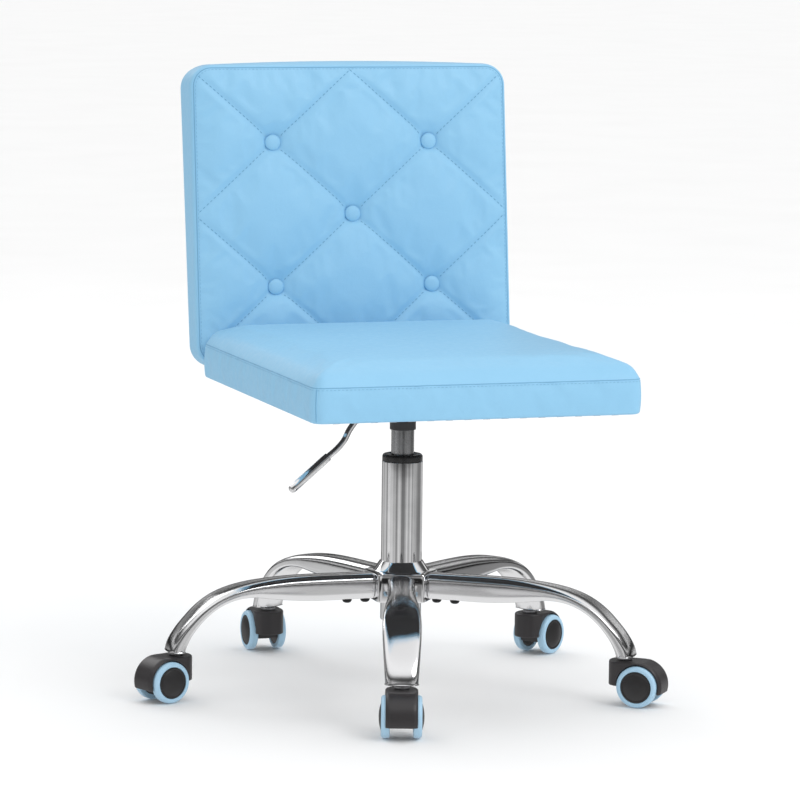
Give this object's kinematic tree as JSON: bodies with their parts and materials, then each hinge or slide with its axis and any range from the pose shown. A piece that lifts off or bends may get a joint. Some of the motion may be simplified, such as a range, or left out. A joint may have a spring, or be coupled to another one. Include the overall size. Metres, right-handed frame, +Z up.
{
  "type": "swivel office chair",
  "caption": "Armless swivel task chair with a button-tufted square back, a boxed seat, a gas lift with a release lever and a star base on twin-wheel casters.",
  "frame": {"origin": "on the floor, at the centre of the chair's outline seen from above, with the base at rest as stored", "axes": "+Z up along the lift column; the sitter faces -Y; -X is the sitter's right, where the release lever is"},
  "size_m": [0.6205, 0.6456, 0.7488],
  "materials": {
    "chrome": "polished",
    "zinc_steel": "satin",
    "cylinder_grey": "satin",
    "mechanism_black": "matte",
    "black_plastic": "matte",
    "blue_tyre": "satin",
    "blue_leather": "satin",
    "plywood": "matte"
  },
  "bodies": {
    "base": {"base_hub": "chrome", "base_leg_1": "chrome", "base_leg_2": "chrome", "base_leg_3": "chrome", "base_leg_4": "chrome", "base_leg_5": "chrome", "column_tube": "chrome", "column_collar": "black_plastic", "caster_1_stem": "zinc_steel", "caster_2_stem": "zinc_steel", "caster_3_stem": "zinc_steel", "caster_4_stem": "zinc_steel", "caster_5_stem": "zinc_steel"},
    "lift_rod": {"piston_rod": "zinc_steel", "thrust_bearing": "zinc_steel"},
    "seat_assembly": {"gas_cylinder": "cylinder_grey", "seat_mechanism": "mechanism_black", "seat_board": "plywood", "seat_cushion": "blue_leather", "back_bracket": "mechanism_black", "back_board": "plywood", "back_cushion": "blue_leather", "tuft_button_1": "blue_leather", "tuft_button_2": "blue_leather", "tuft_button_3": "blue_leather", "tuft_button_4": "blue_leather", "tuft_button_5": "blue_leather"},
    "lever": {"lever_rod": "chrome", "lever_grip": "chrome"},
    "release": {"release_button": "zinc_steel"},
    "caster_1": {"caster_1_housing": "black_plastic", "caster_1_axle": "zinc_steel"},
    "wheel_1a": {"caster_1_wheel_a": "black_plastic", "caster_1_tyre_a": "blue_tyre"},
    "wheel_1b": {"caster_1_wheel_b": "black_plastic", "caster_1_tyre_b": "blue_tyre"},
    "caster_2": {"caster_2_housing": "black_plastic", "caster_2_axle": "zinc_steel"},
    "wheel_2a": {"caster_2_wheel_a": "black_plastic", "caster_2_tyre_a": "blue_tyre"},
    "wheel_2b": {"caster_2_wheel_b": "black_plastic", "caster_2_tyre_b": "blue_tyre"},
    "caster_3": {"caster_3_housing": "black_plastic", "caster_3_axle": "zinc_steel"},
    "wheel_3a": {"caster_3_wheel_a": "black_plastic", "caster_3_tyre_a": "blue_tyre"},
    "wheel_3b": {"caster_3_wheel_b": "black_plastic", "caster_3_tyre_b": "blue_tyre"},
    "caster_4": {"caster_4_housing": "black_plastic", "caster_4_axle": "zinc_steel"},
    "wheel_4a": {"caster_4_wheel_a": "black_plastic", "caster_4_tyre_a": "blue_tyre"},
    "wheel_4b": {"caster_4_wheel_b": "black_plastic", "caster_4_tyre_b": "blue_tyre"},
    "caster_5": {"caster_5_housing": "black_plastic", "caster_5_axle": "zinc_steel"},
    "wheel_5a": {"caster_5_wheel_a": "black_plastic", "caster_5_tyre_a": "blue_tyre"},
    "wheel_5b": {"caster_5_wheel_b": "black_plastic", "caster_5_tyre_b": "blue_tyre"}
  },
  "joints": [
    {"name": "seat_swivel", "type": "hinge", "parent": "base", "child": "lift_rod", "pos_m": [0.028, 0.0015, 0.28], "axis": [0, 0, 1], "continuous": true},
    {"name": "seat_lift", "type": "slide", "parent": "lift_rod", "child": "seat_assembly", "axis": [0, 0, 1], "range_m": [0, 0.12]},
    {"name": "lever_pull", "type": "hinge", "parent": "seat_assembly", "child": "lever", "pos_m": [-0.006, 0.0015, 0.3525], "axis": [0, 1, 0], "range_deg": [0, 7], "stiffness_Nm_per_rad": 0.6, "springref_deg": -14.32},
    {"name": "release_press", "type": "slide", "parent": "seat_assembly", "child": "release", "axis": [0, 0, 1], "range_m": [-0.0045, 0]},
    {"name": "caster_1_swivel", "type": "hinge", "parent": "base", "child": "caster_1", "pos_m": [-0.05976, -0.2686, 0.05], "axis": [0, 0, 1], "continuous": true},
    {"name": "wheel_1a_spin", "type": "hinge", "parent": "caster_1", "child": "wheel_1a", "pos_m": [-0.06625, -0.28857, 0.025], "axis": [0.9511, -0.309, 0], "continuous": true},
    {"name": "wheel_1b_spin", "type": "hinge", "parent": "caster_1", "child": "wheel_1b", "pos_m": [-0.06625, -0.28857, 0.025], "axis": [0.9511, -0.309, 0], "continuous": true},
    {"name": "caster_2_swivel", "type": "hinge", "parent": "base", "child": "caster_2", "pos_m": [0.25776, -0.16543, 0.05], "axis": [0, 0, 1], "continuous": true},
    {"name": "wheel_2a_spin", "type": "hinge", "parent": "caster_2", "child": "wheel_2a", "pos_m": [0.27408, -0.17865, 0.025], "axis": [0.6293, 0.7771, 0], "continuous": true},
    {"name": "wheel_2b_spin", "type": "hinge", "parent": "caster_2", "child": "wheel_2b", "pos_m": [0.27408, -0.17865, 0.025], "axis": [0.6293, 0.7771, 0], "continuous": true},
    {"name": "caster_3_swivel", "type": "hinge", "parent": "base", "child": "caster_3", "pos_m": [0.25776, 0.16843, 0.05], "axis": [0, 0, 1], "continuous": true},
    {"name": "wheel_3a_spin", "type": "hinge", "parent": "caster_3", "child": "wheel_3a", "pos_m": [0.27475, 0.18077, 0.025], "axis": [-0.5878, 0.809, 0], "continuous": true},
    {"name": "wheel_3b_spin", "type": "hinge", "parent": "caster_3", "child": "wheel_3b", "pos_m": [0.27475, 0.18077, 0.025], "axis": [-0.5878, 0.809, 0], "continuous": true},
    {"name": "caster_4_swivel", "type": "hinge", "parent": "base", "child": "caster_4", "pos_m": [-0.05976, 0.2716, 0.05], "axis": [0, 0, 1], "continuous": true},
    {"name": "wheel_4a_spin", "type": "hinge", "parent": "caster_4", "child": "wheel_4a", "pos_m": [-0.06013, 0.2926, 0.025], "axis": [-0.9998, -0.0175, 0], "continuous": true},
    {"name": "wheel_4b_spin", "type": "hinge", "parent": "caster_4", "child": "wheel_4b", "pos_m": [-0.06013, 0.2926, 0.025], "axis": [-0.9998, -0.0175, 0], "continuous": true},
    {"name": "caster_5_swivel", "type": "hinge", "parent": "base", "child": "caster_5", "pos_m": [-0.256, 0.0015, 0.05], "axis": [0, 0, 1], "continuous": true},
    {"name": "wheel_5a_spin", "type": "hinge", "parent": "caster_5", "child": "wheel_5a", "pos_m": [-0.27573, -0.00568, 0.025], "axis": [0.342, -0.9397, 0], "continuous": true},
    {"name": "wheel_5b_spin", "type": "hinge", "parent": "caster_5", "child": "wheel_5b", "pos_m": [-0.27573, -0.00568, 0.025], "axis": [0.342, -0.9397, 0], "continuous": true}
  ],
  "couplings": [
    {"joint": "release_press", "follows": "lever_pull", "m_per_rad": -0.034}
  ]
}
